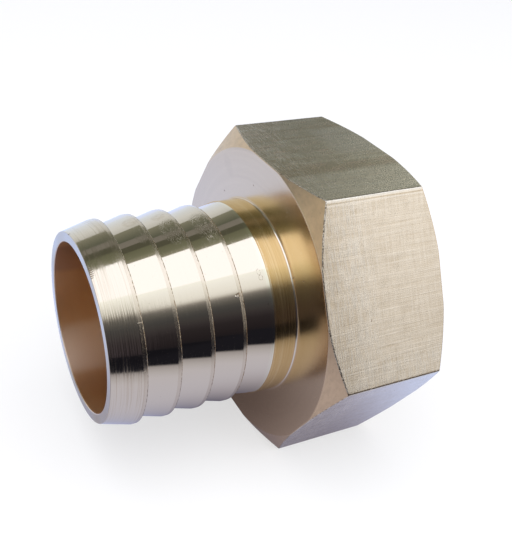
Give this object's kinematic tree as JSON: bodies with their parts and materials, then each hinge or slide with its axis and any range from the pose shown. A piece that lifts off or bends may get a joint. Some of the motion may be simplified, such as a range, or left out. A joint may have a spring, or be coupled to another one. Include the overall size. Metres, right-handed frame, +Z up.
{
  "type": "hose barb",
  "caption": "Brass hose barb: stepped hose tail on a hexagon body with a female pipe thread socket, turned in one piece.",
  "frame": {"origin": "on the axis of the waterway, in the plane of the shoulder where the hose tail meets the hexagon", "axes": "+X along the waterway, out of the threaded socket, so the hose tail points to -X; +Z up, square to one pair of flats of the hexagon, and the fitting lies on the flat that faces -Z"},
  "size_m": [0.0518, 0.0578, 0.05],
  "materials": {
    "brass": "bright turned brass with fine tool marks, bare and uncoated"
  },
  "bodies": {
    "root": {"hose_tail_fitting": "brass"}
  },
  "joints": []
}
